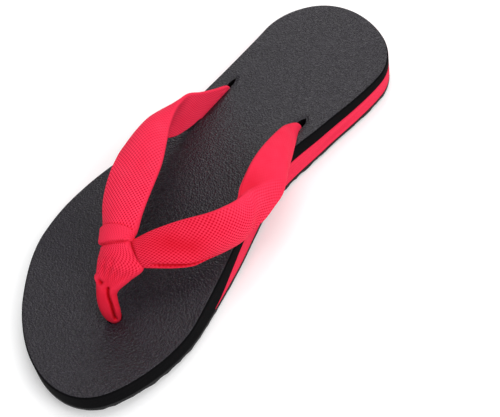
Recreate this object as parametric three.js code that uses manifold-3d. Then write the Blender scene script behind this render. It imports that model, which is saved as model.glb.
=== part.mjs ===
// A toe post sandal for the right foot: a foam sole of three layers and a folded canvas strap,
// which runs from two slots beside the heel to a knot above the toe post.
// Millimetres. +X points to the toe, +Y to the big toe side, +Z up, and the ground is at z = 0.

import * as THREE from 'three';
import Module from 'manifold-3d';

// Driving dimensions of the sole. The rounds and the start of the toe's curl are shares of the length.
const LENGTH = 255;
const TOE_ROUND = 0.24;
const HEEL_ROUND = 0.13;
const TOE_SPRING = 5.8;
const SPRING_FROM = 0.66;
const OUTSOLE_SLAB = 1.9;
const LUG_HEIGHT = 1.3;
const BED_EDGE_RADIUS = 1.2;

// Clearance that the bonded pieces keep from each other
const GAP = 0.3;

// Tread of equal triangles: each lug's base and flat top are shares of its triangle
const LUG_EDGE = 15;
const LUG_BASE_SHARE = 0.87;
const LUG_FLAT_SHARE = 0.42;
const LUG_ROOT = 0.4;
const LUG_RIM = 0.5;

// Slots for the strap and the hole for the toe post
const SLOT_WIDTH = 4.2;
const INNER_SLOT = { rear: -51.5, front: -19.5, y: 27.0 };
const OUTER_SLOT = { rear: -57.0, front: -24.5, y: -19.4 };
const POST_HOLE = { x: 83.3, y: 12.1, radius: 3.7 };

// Canvas band wound round the knot, between two places along the outer strap's rows, and its
// thickness at its edges and in the middle
const WRAP_FROM = 10.95;
const WRAP_TO = 12.08;
const WRAP_THICK_EDGE = 0.9;
const WRAP_THICK_MIDDLE = 1.5;

// Outline seen from above: share of the length from the heel, half width, and middle of the width.
// The round ends of heel and toe are ellipses on these half widths.
const OUTLINE = [
  { at: 0.00, half: 33.7, middle: 4.6 },
  { at: 0.05, half: 34.6, middle: 7.3 },
  { at: 0.13, half: 35.0, middle: 8.3 },
  { at: 0.20, half: 34.4, middle: 7.3 },
  { at: 0.30, half: 32.8, middle: 4.7 },
  { at: 0.45, half: 32.0, middle: 1.3 },
  { at: 0.62, half: 42.8, middle: -1.3 },
  { at: 0.75, half: 46.7, middle: -0.1 },
  { at: 0.88, half: 43.7, middle: 6.7 },
  { at: 0.94, half: 42.4, middle: 11.1 },
  { at: 1.00, half: 42.3, middle: 16.9 },
];

// Thickness of the wedge and of the footbed along the inner (big toe) edge and the outer edge
const LAYERS = [
  { at: 0.00, wedgeInner: 9.3, wedgeOuter: 9.3, bedInner: 4.7, bedOuter: 4.7 },
  { at: 0.12, wedgeInner: 9.0, wedgeOuter: 9.0, bedInner: 5.4, bedOuter: 5.4 },
  { at: 0.28, wedgeInner: 9.9, wedgeOuter: 8.9, bedInner: 6.9, bedOuter: 6.5 },
  { at: 0.42, wedgeInner: 12.2, wedgeOuter: 9.2, bedInner: 8.0, bedOuter: 7.3 },
  { at: 0.55, wedgeInner: 10.0, wedgeOuter: 7.7, bedInner: 7.9, bedOuter: 7.6 },
  { at: 0.60, wedgeInner: 8.6, wedgeOuter: 6.5, bedInner: 7.5, bedOuter: 7.6 },
  { at: 0.64, wedgeInner: 5.6, wedgeOuter: 4.4, bedInner: 8.8, bedOuter: 8.8 },
  { at: 0.68, wedgeInner: 2.1, wedgeOuter: 1.9, bedInner: 10.7, bedOuter: 10.4 },
  { at: 0.71, wedgeInner: 0.7, wedgeOuter: 0.7, bedInner: 10.8, bedOuter: 10.5 },
  { at: 0.75, wedgeInner: 0.0, wedgeOuter: 0.0, bedInner: 9.9, bedOuter: 9.7 },
  { at: 0.79, wedgeInner: 0.0, wedgeOuter: 0.0, bedInner: 8.5, bedOuter: 8.5 },
  { at: 0.86, wedgeInner: 0.0, wedgeOuter: 0.0, bedInner: 8.2, bedOuter: 8.2 },
  { at: 1.00, wedgeInner: 0.0, wedgeOuter: 0.0, bedInner: 8.6, bedOuter: 8.6 },
];

// Inner strap from its slot to the knot. Each row is one section across the band: its front edge,
// its rear edge, the width of the canvas laid flat, and the thickness of the folded layers.
const INNER_STRAP = [
  { front: [-21.5, 27.0, 15.6], rear: [-47.0, 27.0, 13.6], width: 25.5, thick: 2.8 },
  { front: [-21.5, 27.4, 21.6], rear: [-46.6, 27.0, 19.6], width: 25.5, thick: 2.8 },
  { front: [-20.4, 29.0, 23.8], rear: [-44.8, 26.6, 22.4], width: 24.8, thick: 2.8 },
  { front: [-16.6, 35.4, 25.2], rear: [-40.2, 25.7, 25.8], width: 27, thick: 2.8 },
  { front: [-10.5, 41.8, 26.0], rear: [-33.6, 26.3, 30.5], width: 29, thick: 2.8 },
  { front: [-3.0, 45.2, 26.2], rear: [-21.3, 28.3, 36.0], width: 28.5, thick: 2.8 },
  { front: [5.0, 46.2, 25.6], rear: [-10.1, 30.3, 39.5], width: 27, thick: 2.8 },
  { front: [12.5, 45.6, 24.2], rear: [0.4, 32.9, 41.5], width: 26, thick: 2.8 },
  { front: [19.5, 43.5, 22.6], rear: [10.3, 36.0, 42.0], width: 25, thick: 2.8 },
  { front: [25.9, 42.9, 21.2], rear: [17.8, 39.2, 41.5], width: 25, thick: 2.8 },
  { front: [34.2, 40.3, 23.4], rear: [25.4, 37.0, 43.0], width: 25, thick: 2.8 },
  { front: [43.1, 38.0, 27.0], rear: [32.2, 33.3, 44.0], width: 24, thick: 2.8 },
  { front: [51.0, 36.5, 30.4], rear: [40.1, 26.6, 44.5], width: 23, thick: 2.8 },
  { front: [58.0, 32.6, 33.4], rear: [46.2, 21.5, 44.3], width: 22, thick: 3.0 },
  { front: [64.0, 25.2, 35.6], rear: [52.4, 16.3, 43.2], width: 19, thick: 3.6 },
  { front: [67.0, 18.6, 35.4], rear: [58.4, 11.0, 40.6], width: 14.5, thick: 4.2 },
  { front: [67.4, 11.6, 36.2], rear: [62.0, 6.4, 39.2], width: 8.4, thick: 3.0 },
];

// Outer strap from its slot over the instep, through the knot, and down the toe post into its hole
const OUTER_STRAP = [
  { front: [-26.0, -19.4, 14.4], rear: [-52.0, -19.4, 13.2], width: 26, thick: 2.8 },
  { front: [-25.8, -19.2, 20.4], rear: [-51.2, -19.2, 19.2], width: 26, thick: 2.8 },
  { front: [-19.8, -19.6, 21.4], rear: [-42.7, -20.5, 24.5], width: 26, thick: 2.8 },
  { front: [-14.0, -20.6, 22.2], rear: [-34.2, -21.5, 30.0], width: 26, thick: 2.8 },
  { front: [-8.4, -21.6, 24.0], rear: [-25.4, -22.0, 36.0], width: 26, thick: 2.8 },
  { front: [-1.0, -24.2, 27.0], rear: [-13.4, -18.9, 41.0], width: 26, thick: 2.8 },
  { front: [7.6, -26.8, 32.6], rear: [-2.4, -14.2, 43.2], width: 26, thick: 2.8 },
  { front: [17.0, -27.6, 37.8], rear: [8.0, -8.5, 44.2], width: 26, thick: 2.8 },
  { front: [29.0, -25.0, 40.2], rear: [20.9, -0.7, 45.2], width: 26.5, thick: 2.8 },
  { front: [40.6, -20.0, 40.6], rear: [36.0, 4.6, 45.2], width: 26, thick: 2.8 },
  { front: [50.2, -13.6, 40.2], rear: [46.7, 8.2, 44.6], width: 23.5, thick: 3.4 },
  { front: [59.0, -6.4, 38.8], rear: [55.4, 10.8, 42.6], width: 20, thick: 5.6 },
  { front: [66.0, -1.6, 37.6], rear: [60.2, 13.2, 41.2], width: 18.5, thick: 7.0 },
  { front: [72.4, 0.6, 35.6], rear: [66.2, 20.0, 35.8], width: 22.5, thick: 7.0 },
  { front: [77.5, 3.1, 33.4], rear: [72.6, 17.8, 31.4], width: 18, thick: 7.2 },
  { front: [82.0, 5.5, 29.6], rear: [78.2, 14.4, 27.6], width: 11, thick: 6.6 },
  { front: [85.0, 6.9, 24.4], rear: [80.2, 14.8, 23.4], width: 9.8, thick: 6.0 },
  { front: [86.5, 8.4, 19.2], rear: [81.0, 15.4, 18.8], width: 9.4, thick: 5.6 },
  { front: [86.3, 9.6, 14.4], rear: [81.4, 15.2, 14.2], width: 7.6, thick: 5.0 },
  { front: [85.0, 10.4, 10.4], rear: [81.4, 14.2, 10.4], width: 5.6, thick: 4.8 },
  { front: [85.0, 10.4, 5.8], rear: [81.4, 14.2, 5.8], width: 5.6, thick: 4.8 },
];

// Finishes of the four materials
const RUBBER = { color: 0x17171a, roughness: 0.55 };
const FOAM = { color: 0xf5406a, roughness: 0.7 };
const LEATHERETTE = { color: 0x3b393d, roughness: 0.6 };
const CANVAS = { color: 0xea2748, roughness: 0.85 };

// Counts of facets
const RING_POINTS = 72;
const WEDGE_TIP_POINT = 23;
const RUNG_POINTS = 5;
const FACE_POINTS = 7;
const STEPS_PER_ROW = 2;
const HOLE_SEGMENTS = 20;
const SLOT_END_SEGMENTS = 6;

const INNER = 1;
const OUTER = -1;

const wasm = await Module();
wasm.setup();

// A closed solid from shared points and triangles
function solid(points, triangles) {
  const vertProperties = new Float32Array(points.flatMap((p) => [p.x, p.y, p.z]));
  const triVerts = new Uint32Array(triangles.flat());
  return new wasm.Manifold(new wasm.Mesh({ numProp: 3, vertProperties, triVerts }));
}

// Smooth value of one column of a table at a share of the length
function along(table, column, at) {
  const last = table.length - 1;
  let i = 0;
  while (i < last - 1 && at > table[i + 1].at) {
    i += 1;
  }
  const slope = (k) => {
    const a = table[Math.max(k - 1, 0)];
    const b = table[Math.min(k + 1, last)];
    return (b[column] - a[column]) / (b.at - a.at);
  };
  const from = table[i];
  const to = table[i + 1];
  const span = to.at - from.at;
  const t = (at - from.at) / span;
  const value0 = from[column] * (1 + 2 * t) * (1 - t) ** 2;
  const value1 = to[column] * (3 - 2 * t) * t ** 2;
  const bend = slope(i) * t * (1 - t) ** 2 - slope(i + 1) * (1 - t) * t ** 2;
  return value0 + value1 + bend * span;
}

// Half width of the sole, with round heel and toe ends
function halfWidth(at) {
  let share = 1;
  if (at < HEEL_ROUND) share = Math.sqrt(1 - (1 - at / HEEL_ROUND) ** 2);
  if (at > 1 - TOE_ROUND) share = Math.sqrt(Math.max(0, 1 - ((at - 1 + TOE_ROUND) / TOE_ROUND) ** 2));
  return along(OUTLINE, 'half', at) * share;
}

function outlinePoint(k) {
  const turn = (2 * Math.PI * k) / RING_POINTS;
  const at = (1 - Math.cos(turn)) / 2;
  const side = k <= RING_POINTS / 2 ? INNER : OUTER;
  const y = along(OUTLINE, 'middle', at) + side * halfWidth(at);
  return new THREE.Vector2((at - 0.5) * LENGTH, y);
}

const outline = Array.from({ length: RING_POINTS }, (_, k) => outlinePoint(k));

// Outline moved inwards by a distance
function insetOutline(inset) {
  return outline.map((point, k) => {
    const before = outline[(k + RING_POINTS - 1) % RING_POINTS];
    const after = outline[(k + 1) % RING_POINTS];
    const run = after.clone().sub(before).normalize();
    return new THREE.Vector2(point.x + run.y * inset, point.y - run.x * inset);
  });
}

const shareAt = (x) => THREE.MathUtils.clamp(x / LENGTH + 0.5, 0, 1);

// Height of the curled-up toe above the ground
function ground(x) {
  const rise = Math.max(0, (shareAt(x) - SPRING_FROM) / (1 - SPRING_FROM));
  return TOE_SPRING * rise ** 2;
}

// Thickness that grows from the outer edge to the inner edge, faster near the inner edge
function layerAt(layer, x, y) {
  const at = shareAt(x);
  const half = Math.max(halfWidth(at), 1);
  const across = THREE.MathUtils.clamp((y - along(OUTLINE, 'middle', at)) / half, -1, 1);
  const share = ((across + 1) / 2) ** 2;
  const outer = along(LAYERS, `${layer}Outer`, at);
  return Math.max(0, outer + (along(LAYERS, `${layer}Inner`, at) - outer) * share);
}

const outsoleTop = (x) => ground(x) + LUG_HEIGHT + OUTSOLE_SLAB;
const wedgeTop = (x, y) => outsoleTop(x) + layerAt('wedge', x, y);
const bedTop = (x, y) => wedgeTop(x, y) + layerAt('bed', x, y);

// A slab of the sole's outline. Each row is a ring: how far inside the outline, and its height.
function slab(rows) {
  const points = [];
  const triangles = [];
  const half = RING_POINTS / 2;
  const put = (x, y, z) => points.push(new THREE.Vector3(x, y, z)) - 1;
  const rings = rows.map(({ inset, z }) => insetOutline(inset).map((p) => put(p.x, p.y, z(p.x, p.y))));
  for (let r = 0; r + 1 < rings.length; r += 1) {
    for (let k = 0; k < RING_POINTS; k += 1) {
      const next = (k + 1) % RING_POINTS;
      triangles.push([rings[r][k], rings[r][next], rings[r + 1][k]]);
      triangles.push([rings[r][next], rings[r + 1][next], rings[r + 1][k]]);
    }
  }
  const cap = (ring, z, up) => {
    const face = (a, b, c) => triangles.push(up ? [a, b, c] : [a, c, b]);
    const rungs = [];
    for (let k = 1; k < half; k += 1) {
      const inner = points[ring[k]];
      const outer = points[ring[RING_POINTS - k]];
      const rung = [ring[k]];
      for (let j = 1; j < RUNG_POINTS; j += 1) {
        const p = inner.clone().lerp(outer, j / RUNG_POINTS);
        rung.push(put(p.x, p.y, z(p.x, p.y)));
      }
      rung.push(ring[RING_POINTS - k]);
      rungs.push(rung);
    }
    const heel = ring[0];
    const toe = ring[half];
    for (let j = 0; j < RUNG_POINTS; j += 1) {
      face(heel, rungs[0][j + 1], rungs[0][j]);
      face(toe, rungs.at(-1)[j], rungs.at(-1)[j + 1]);
      for (let k = 0; k + 1 < rungs.length; k += 1) {
        face(rungs[k][j], rungs[k][j + 1], rungs[k + 1][j]);
        face(rungs[k + 1][j], rungs[k][j + 1], rungs[k + 1][j + 1]);
      }
    }
  };
  cap(rings[0], rows[0].z, true);
  cap(rings.at(-1), rows.at(-1).z, false);
  return solid(points, triangles);
}

// An upright prism of a flat shape between two heights
function prism(shape, low, high, curveSegments = 1) {
  const settings = { depth: high - low, bevelEnabled: false, curveSegments };
  const geometry = new THREE.ExtrudeGeometry(shape, settings);
  geometry.translate(0, 0, low);
  return fromGeometry(geometry);
}

// A solid from a geometry, with its repeated corner points joined
function fromGeometry(geometry) {
  const position = geometry.getAttribute('position');
  const places = new Map();
  const points = [];
  const joined = [];
  for (let i = 0; i < position.count; i += 1) {
    const p = new THREE.Vector3().fromBufferAttribute(position, i);
    const key = p.toArray().map((v) => v.toFixed(4)).join(' ');
    if (!places.has(key)) places.set(key, points.push(p) - 1);
    joined.push(places.get(key));
  }
  const corners = geometry.index ? Array.from(geometry.index.array, (i) => joined[i]) : joined;
  const triangles = [];
  for (let i = 0; i < corners.length; i += 3) triangles.push(corners.slice(i, i + 3));
  return solid(points, triangles);
}

// Low pyramids with flat tops, in rows of triangles along the shoe
function treadLugs() {
  const points = [];
  const triangles = [];
  const rowHeight = (LUG_EDGE * Math.sqrt(3)) / 2;
  const rows = Math.ceil(LENGTH / 4 / rowHeight);
  const columns = Math.ceil(LENGTH / LUG_EDGE);
  for (let row = -rows; row < rows; row += 1) {
    for (let column = -columns; column < columns; column += 1) {
      const flip = (row + column) % 2 === 0 ? 1 : -1;
      const x = (column * LUG_EDGE) / 2;
      const y = (row + 0.5) * rowHeight - (flip * rowHeight) / 6;
      const at = x / LENGTH + 0.5;
      if (at < 0 || at > 1) continue;
      if (Math.abs(y - along(OUTLINE, 'middle', at)) > halfWidth(at) + rowHeight / 3) continue;
      const first = points.length;
      for (const [share, z] of [[LUG_BASE_SHARE, LUG_HEIGHT + LUG_ROOT], [LUG_FLAT_SHARE, 0]]) {
        for (let corner = 0; corner < 3; corner += 1) {
          const angle = (flip * Math.PI) / 2 + (corner * 2 * Math.PI) / 3;
          const reach = (share * LUG_EDGE) / Math.sqrt(3);
          points.push(new THREE.Vector3(x + reach * Math.cos(angle), y + reach * Math.sin(angle), z));
        }
      }
      triangles.push([first, first + 1, first + 2], [first + 3, first + 5, first + 4]);
      for (let corner = 0; corner < 3; corner += 1) {
        const next = (corner + 1) % 3;
        triangles.push([first + corner, first + 3 + corner, first + next]);
        triangles.push([first + next, first + 3 + corner, first + 3 + next]);
      }
    }
  }
  return solid(points, triangles);
}

// Points of a solid moved up by a height that depends on x
function bent(body, lift) {
  const mesh = body.getMesh();
  const points = [];
  for (let i = 0; i < mesh.vertProperties.length; i += mesh.numProp) {
    const [x, y, z] = mesh.vertProperties.subarray(i, i + 3);
    points.push(new THREE.Vector3(x, y, z + lift(x)));
  }
  const triangles = [];
  for (let i = 0; i < mesh.triVerts.length; i += 3) triangles.push([...mesh.triVerts.subarray(i, i + 3)]);
  return solid(points, triangles);
}

function outsole() {
  const bottom = () => LUG_HEIGHT;
  const top = () => LUG_HEIGHT + OUTSOLE_SLAB;
  const sheet = slab([{ inset: 0, z: top }, { inset: 0, z: bottom }]);
  const rim = slab([{ inset: LUG_RIM, z: top }, { inset: LUG_RIM, z: () => -LUG_HEIGHT }]);
  return bent(sheet.add(treadLugs().intersect(rim)), ground);
}

// The wedge ends in a thin edge under the ball of the foot
function midsole() {
  const end = outline[WEDGE_TIP_POINT].x;
  const keep = new THREE.Shape();
  keep.moveTo(-LENGTH, -LENGTH);
  keep.lineTo(end, -LENGTH);
  keep.lineTo(end, LENGTH);
  keep.lineTo(-LENGTH, LENGTH);
  const bottom = (x) => outsoleTop(x) + GAP;
  const top = (x, y) => Math.max(wedgeTop(x, y), bottom(x) + GAP);
  const wedge = slab([{ inset: 0, z: top }, { inset: 0, z: bottom }]);
  return wedge.intersect(prism(keep, -LENGTH, LENGTH));
}

// A slot with round ends along X
function slotShape({ rear, front, y }) {
  const r = SLOT_WIDTH / 2;
  const shape = new THREE.Shape();
  shape.moveTo(rear + r, y - r);
  shape.lineTo(front - r, y - r);
  shape.absarc(front - r, y, r, -Math.PI / 2, Math.PI / 2);
  shape.lineTo(rear + r, y + r);
  shape.absarc(rear + r, y, r, Math.PI / 2, (3 * Math.PI) / 2);
  return shape;
}

function holeShape({ x, y, radius }) {
  const shape = new THREE.Shape();
  shape.absarc(x, y, radius, 0, 2 * Math.PI);
  return shape;
}

function footbed() {
  const r = BED_EDGE_RADIUS;
  const easing = 1 - Math.SQRT1_2;
  const lowered = (drop) => (x, y) => bedTop(x, y) - drop;
  const bottom = (x, y) => wedgeTop(x, y) + GAP;
  let bed = slab([
    { inset: r, z: bedTop },
    { inset: r * easing, z: lowered(r * easing) },
    { inset: 0, z: lowered(r) },
    { inset: 0, z: bottom },
  ]);
  for (const slot of [INNER_SLOT, OUTER_SLOT]) {
    bed = bed.subtract(prism(slotShape(slot), 0, LENGTH, SLOT_END_SEGMENTS));
  }
  bed = bed.subtract(prism(holeShape(POST_HOLE), 0, LENGTH, HOLE_SEGMENTS));
  bed = bed.subtract(strap(INNER_STRAP, INNER, { grow: GAP }));
  return bed.subtract(strap(OUTER_STRAP, OUTER, { grow: GAP }));
}

// One section across a folded canvas band. The canvas bulges outwards when its edges are closer
// together than its width laid flat, in a bend no tighter than its thickness. Gives the points of
// the outer face and of the inner face.
function bandSection({ front, rear, width, thick, out }) {
  const round = thick / 2;
  const chord = rear.clone().sub(front);
  const reach = chord.length();
  const across = chord.clone().normalize();
  const span = Math.max(reach - thick, GAP);
  const slack = Math.max(width - reach, 0);
  const bulge = Math.min(Math.sqrt((3 * span * slack) / 8), span ** 2 / (8 * thick));
  const start = front.clone().addScaledVector(across, round);
  const place = (v) => start.clone()
    .addScaledVector(across, span * v)
    .addScaledVector(out, 4 * bulge * v * (1 - v));
  const run = (v) => across.clone()
    .multiplyScalar(span)
    .addScaledVector(out, 4 * bulge * (1 - 2 * v))
    .normalize();
  const outer = [];
  const inner = [];
  const add = (v, past, lift) => {
    const direction = run(v);
    const side = out.clone().addScaledVector(direction, -out.dot(direction)).normalize();
    const base = place(v).addScaledVector(direction, past);
    outer.push(base.clone().addScaledVector(side, lift));
    inner.push(base.clone().addScaledVector(side, -lift));
  };
  const end = Math.sqrt(3) / 2;
  add(0, -round * end, round / 2);
  for (let i = 0; i <= FACE_POINTS; i += 1) add(i / FACE_POINTS, 0, round);
  add(1, round * end, round / 2);
  return { outer, inner };
}

// A band lofted through the rows of a strap table, thicker all round by a growth in millimetres
function strap(table, side, { from = 0, to = table.length - 1, grow = 0 } = {}) {
  const curve = (key) => new THREE.CatmullRomCurve3(
    table.map((row) => new THREE.Vector3(...row[key])), false, 'catmullrom', 0.5);
  const front = curve('front');
  const rear = curve('rear');
  const last = table.length - 1;
  const steps = Math.round((to - from) * STEPS_PER_ROW);
  const growth = typeof grow === 'function' ? grow : () => grow;
  const points = [];
  const triangles = [];
  const loops = [];
  for (let step = 0; step <= steps; step += 1) {
    const place = from + ((to - from) * step) / steps;
    const row = Math.min(Math.floor(place), last - 1);
    const mix = (key) => THREE.MathUtils.lerp(table[row][key], table[row + 1][key], place - row);
    const f = front.getPoint(place / last);
    const r = rear.getPoint(place / last);
    const ahead = front.getTangent(place / last).add(rear.getTangent(place / last));
    const chord = r.clone().sub(f).normalize();
    const out = chord.clone().cross(ahead).multiplyScalar(side).normalize();
    const extra = growth((place - from) / (to - from));
    f.addScaledVector(chord, -extra);
    r.addScaledVector(chord, extra);
    const { outer, inner } = bandSection({
      front: f, rear: r, width: mix('width') + 2 * extra, thick: mix('thick') + 2 * extra, out,
    });
    loops.push([...outer, ...inner.reverse()].map((p) => points.push(p) - 1));
  }
  const size = loops[0].length;
  const face = (a, b, c) => triangles.push(side === INNER ? [a, b, c] : [a, c, b]);
  for (let step = 0; step < steps; step += 1) {
    for (let i = 0; i < size; i += 1) {
      const next = (i + 1) % size;
      face(loops[step][i], loops[step][next], loops[step + 1][i]);
      face(loops[step][next], loops[step + 1][next], loops[step + 1][i]);
    }
  }
  for (let i = 0; i + 1 < size / 2; i += 1) {
    const [a, b, c, d] = [i, i + 1, size - 1 - i, size - 2 - i];
    const first = loops[0];
    const end = loops[steps];
    face(first[a], first[c], first[b]);
    face(first[b], first[c], first[d]);
    face(end[a], end[b], end[c]);
    face(end[b], end[d], end[c]);
  }
  return solid(points, triangles);
}

function upper() {
  return strap(OUTER_STRAP, OUTER).add(strap(INNER_STRAP, INNER));
}

function knotWrap() {
  const rise = WRAP_THICK_MIDDLE - WRAP_THICK_EDGE;
  const swell = (share) => GAP + WRAP_THICK_EDGE + rise * Math.sin(Math.PI * share);
  const band = strap(OUTER_STRAP, OUTER, { from: WRAP_FROM, to: WRAP_TO, grow: swell });
  const clearOf = strap(OUTER_STRAP, OUTER, { grow: GAP }).add(strap(INNER_STRAP, INNER, { grow: GAP }));
  return band.subtract(clearOf);
}

function mesh(name, body, { color, roughness }) {
  const data = body.getMesh();
  const geometry = new THREE.BufferGeometry();
  geometry.setAttribute('position', new THREE.BufferAttribute(new Float32Array(data.vertProperties), 3));
  geometry.setIndex(new THREE.BufferAttribute(new Uint32Array(data.triVerts), 1));
  geometry.computeVertexNormals();
  const part = new THREE.Mesh(geometry, new THREE.MeshStandardMaterial({ color, roughness, metalness: 0 }));
  part.name = name;
  return part;
}

const sandal = new THREE.Group();
sandal.add(mesh('outsole', outsole(), RUBBER));
sandal.add(mesh('midsole', midsole(), FOAM));
sandal.add(mesh('footbed', footbed(), LEATHERETTE));
sandal.add(mesh('upper', upper(), CANVAS));
sandal.add(mesh('knot_wrap', knotWrap(), CANVAS));

export default sandal;
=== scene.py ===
# %% [markdown]
# A toe post sandal for the right foot.
# The sole is three glued layers: a tread of black rubber, a wedge of pink-red foam, and a footbed of
# black foam with a charcoal leatherette skin. Two straps of folded red canvas come out of slots beside
# the heel, meet in a knot above the toes, and go down between the toes as the toe post.
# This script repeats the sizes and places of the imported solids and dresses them: each solid is replaced
# by a finer mesh of the same form, with its folds, grain and weave. +X points to the toe, +Y to the big
# toe side, +Z up, and the ground is at z = 0.

# %% Load the fixed frame
import math

import bmesh
import bpy
import numpy as np
from mathutils import Matrix, Vector


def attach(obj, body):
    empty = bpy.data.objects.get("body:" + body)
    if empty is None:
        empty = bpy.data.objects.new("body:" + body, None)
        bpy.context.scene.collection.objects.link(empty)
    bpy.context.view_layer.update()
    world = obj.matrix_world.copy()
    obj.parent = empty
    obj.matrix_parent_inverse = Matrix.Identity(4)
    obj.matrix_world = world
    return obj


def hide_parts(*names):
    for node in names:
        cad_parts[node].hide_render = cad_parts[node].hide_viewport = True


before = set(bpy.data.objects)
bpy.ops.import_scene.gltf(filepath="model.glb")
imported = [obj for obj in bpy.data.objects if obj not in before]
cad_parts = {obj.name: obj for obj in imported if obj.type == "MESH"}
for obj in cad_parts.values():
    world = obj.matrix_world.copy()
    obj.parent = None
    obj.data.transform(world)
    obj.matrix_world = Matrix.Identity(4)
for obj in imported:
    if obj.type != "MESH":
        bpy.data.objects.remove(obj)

scene = bpy.context.scene
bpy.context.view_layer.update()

# %% [markdown]
# The camera comes first, because every later choice is judged through it. The photograph's camera was
# found by fitting the sole's outline: where it stands, which way is right in the picture, and which
# way is back towards the viewer. The up direction follows from the other two.

# %% Camera at the photograph's angle
MM = 0.001
PHOTO_WIDTH = 500
FOCAL_PIXELS = 1247.9
SENSOR_WIDTH = 36.0
CAMERA_PLACE = Vector((263.2, 282.1, 472.4)) * MM
CAMERA_RIGHT = Vector((-0.5665, 0.8146, -0.1247)).normalized()
CAMERA_BACK = Vector((0.4444, 0.4294, 0.7862)).normalized()

lens = bpy.data.cameras.new("photo_camera")
lens.sensor_fit = "HORIZONTAL"
lens.sensor_width = SENSOR_WIDTH
lens.lens = SENSOR_WIDTH * FOCAL_PIXELS / PHOTO_WIDTH
camera = bpy.data.objects.new("photo_camera", lens)
camera_up = CAMERA_BACK.cross(CAMERA_RIGHT).normalized()
camera_turn = Matrix((CAMERA_RIGHT, camera_up, CAMERA_BACK)).transposed()
camera.matrix_world = Matrix.Translation(CAMERA_PLACE) @ camera_turn.to_4x4()
scene.collection.objects.link(camera)
scene.camera = camera
print(f"camera: {lens.lens:.1f} mm lens, {CAMERA_PLACE.length:.2f} m from the origin")

# %% [markdown]
# All forms of the sole follow from two short tables. The first is the outline seen from above. The
# second is how thick the foam layers are along the two edges. A smooth curve through each column
# gives the value at any share of the length, from the heel (0) to the toe (1).

# %% Outline and layers of the sole, in millimetres
LENGTH = 255.0
HEEL_ROUND = 0.13
TOE_ROUND = 0.24
TOE_SPRING = 5.8
SPRING_FROM = 0.66
OUTSOLE_SLAB = 1.9
LUG_HEIGHT = 1.3
NARROWEST_HALF = 1.0
ARCH_PLACE = (-20.0, 28.0)

OUTLINE = np.array([
    (0.00, 33.7, 4.6),
    (0.05, 34.6, 7.3),
    (0.13, 35.0, 8.3),
    (0.20, 34.4, 7.3),
    (0.30, 32.8, 4.7),
    (0.45, 32.0, 1.3),
    (0.62, 42.8, -1.3),
    (0.75, 46.7, -0.1),
    (0.88, 43.7, 6.7),
    (0.94, 42.4, 11.1),
    (1.00, 42.3, 16.9),
], dtype=[("at", float), ("half", float), ("middle", float)])

LAYERS = np.array([
    (0.00, 9.3, 9.3, 4.7, 4.7),
    (0.12, 9.0, 9.0, 5.4, 5.4),
    (0.28, 9.9, 8.9, 6.9, 6.5),
    (0.42, 12.2, 9.2, 8.0, 7.3),
    (0.55, 10.0, 7.7, 7.9, 7.6),
    (0.60, 8.6, 6.5, 7.5, 7.6),
    (0.64, 5.6, 4.4, 8.8, 8.8),
    (0.68, 2.1, 1.9, 10.7, 10.4),
    (0.71, 0.7, 0.7, 10.8, 10.5),
    (0.75, 0.0, 0.0, 9.9, 9.7),
    (0.79, 0.0, 0.0, 8.5, 8.5),
    (0.86, 0.0, 0.0, 8.2, 8.2),
    (1.00, 0.0, 0.0, 8.6, 8.6),
], dtype=[("at", float), ("wedge_inner", float), ("wedge_outer", float),
          ("bed_inner", float), ("bed_outer", float)])


def along(table, column, at):
    """A smooth curve through one column of a table, at shares of the length."""
    place = table["at"]
    value = table[column]
    rows = np.arange(len(place))
    before = np.maximum(rows - 1, 0)
    after = np.minimum(rows + 1, len(place) - 1)
    slope = (value[after] - value[before]) / (place[after] - place[before])
    i = np.searchsorted(place[1:-1], at)
    span = place[i + 1] - place[i]
    t = (at - place[i]) / span
    through = value[i] * (1 + 2 * t) * (1 - t) ** 2 + value[i + 1] * (3 - 2 * t) * t ** 2
    return through + span * (slope[i] * t * (1 - t) ** 2 - slope[i + 1] * (1 - t) * t ** 2)


def half_width(at):
    """Half the sole's width, with the heel and the toe rounded as ellipses."""
    heel = np.clip(1 - at / HEEL_ROUND, 0, 1)
    toe = np.clip((at - 1 + TOE_ROUND) / TOE_ROUND, 0, 1)
    return along(OUTLINE, "half", at) * np.sqrt(1 - heel ** 2) * np.sqrt(1 - toe ** 2)


def share_at(x):
    return np.clip(x / LENGTH + 0.5, 0, 1)


def ground(x):
    """How far the curled-up toe stands above the floor."""
    return TOE_SPRING * (np.maximum(0, share_at(x) - SPRING_FROM) / (1 - SPRING_FROM)) ** 2


def layer_at(layer, x, y):
    """Thickness of a foam layer, which grows towards the inner edge under the arch."""
    at = share_at(x)
    half = np.maximum(half_width(at), NARROWEST_HALF)
    across = np.clip((y - along(OUTLINE, "middle", at)) / half, -1, 1)
    outer = along(LAYERS, layer + "_outer", at)
    inner = along(LAYERS, layer + "_inner", at)
    return np.maximum(0, outer + (inner - outer) * ((across + 1) / 2) ** 2)


def outsole_top(x, y):
    return ground(x) + LUG_HEIGHT + OUTSOLE_SLAB


def wedge_top(x, y):
    return outsole_top(x, y) + layer_at("wedge", x, y)


def bed_top(x, y):
    return wedge_top(x, y) + layer_at("bed", x, y)


print(f"arch: the footbed's top is {float(bed_top(*ARCH_PLACE)):.1f} mm above the floor")

# %% [markdown]
# A material in Blender is a small network of nodes. Two helpers keep the networks readable. One turns
# the hex colours that a paint program shows into the linear values that the renderer works with. The
# other adds a node, sets its properties, and fills each socket with a value or a link.

# %% Helpers for colours and nodes
def colour(hex_code):
    """An sRGB hex colour as linear red, green, blue and alpha."""
    parts = [int(hex_code[i:i + 2], 16) / 255 for i in (0, 2, 4)]
    linear = [p / 12.92 if p <= 0.04045 else ((p + 0.055) / 1.055) ** 2.4 for p in parts]
    return (*linear, 1.0)


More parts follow.
